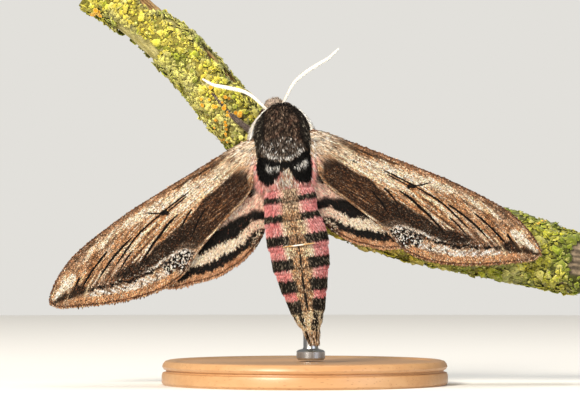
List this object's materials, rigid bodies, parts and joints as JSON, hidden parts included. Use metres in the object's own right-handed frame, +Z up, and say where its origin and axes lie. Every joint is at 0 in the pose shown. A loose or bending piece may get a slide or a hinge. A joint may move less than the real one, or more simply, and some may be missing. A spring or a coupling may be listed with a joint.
{
  "type": "privet hawk moth model",
  "caption": "Life-size privet hawk moth at rest, wings spread, gripping a short length of lichened branch held by a rod on a round base.",
  "frame": {"origin": "middle of the display base's underside", "axes": "+Z up, -Y the side that the moth's back faces, +X to the right seen from that side"},
  "size_m": [0.1094, 0.058, 0.0852],
  "materials": {
    "bark": "rough bark under yellow-green lichen",
    "body_scales": "matt fur-like scales",
    "eye": "dark, softly shining compound eye",
    "leg_scales": "matt scales",
    "horn": "brown satin horn",
    "pale_horn": "matt white scales",
    "wing_scales": "matt brown scales",
    "hindwing_scales": "matt pink and black scales",
    "base_wood": "satin pale wood",
    "rod_steel": "brushed"
  },
  "bodies": {
    "root": {"perch_branch": "bark", "thorax": "body_scales", "abdomen": "body_scales", "head": "body_scales", "eye_left": "eye", "eye_right": "eye", "palp_left": "leg_scales", "palp_right": "leg_scales", "proboscis": "horn", "antenna_left": "pale_horn", "antenna_right": "pale_horn", "foreleg_left": "leg_scales", "foreleg_right": "leg_scales", "midleg_left": "leg_scales", "midleg_right": "leg_scales", "hindleg_left": "leg_scales", "hindleg_right": "leg_scales", "forewing_left": "wing_scales", "forewing_right": "wing_scales", "hindwing_left": "hindwing_scales", "hindwing_right": "hindwing_scales", "stand_base": "base_wood", "stand_rod": "rod_steel"}
  },
  "joints": []
}
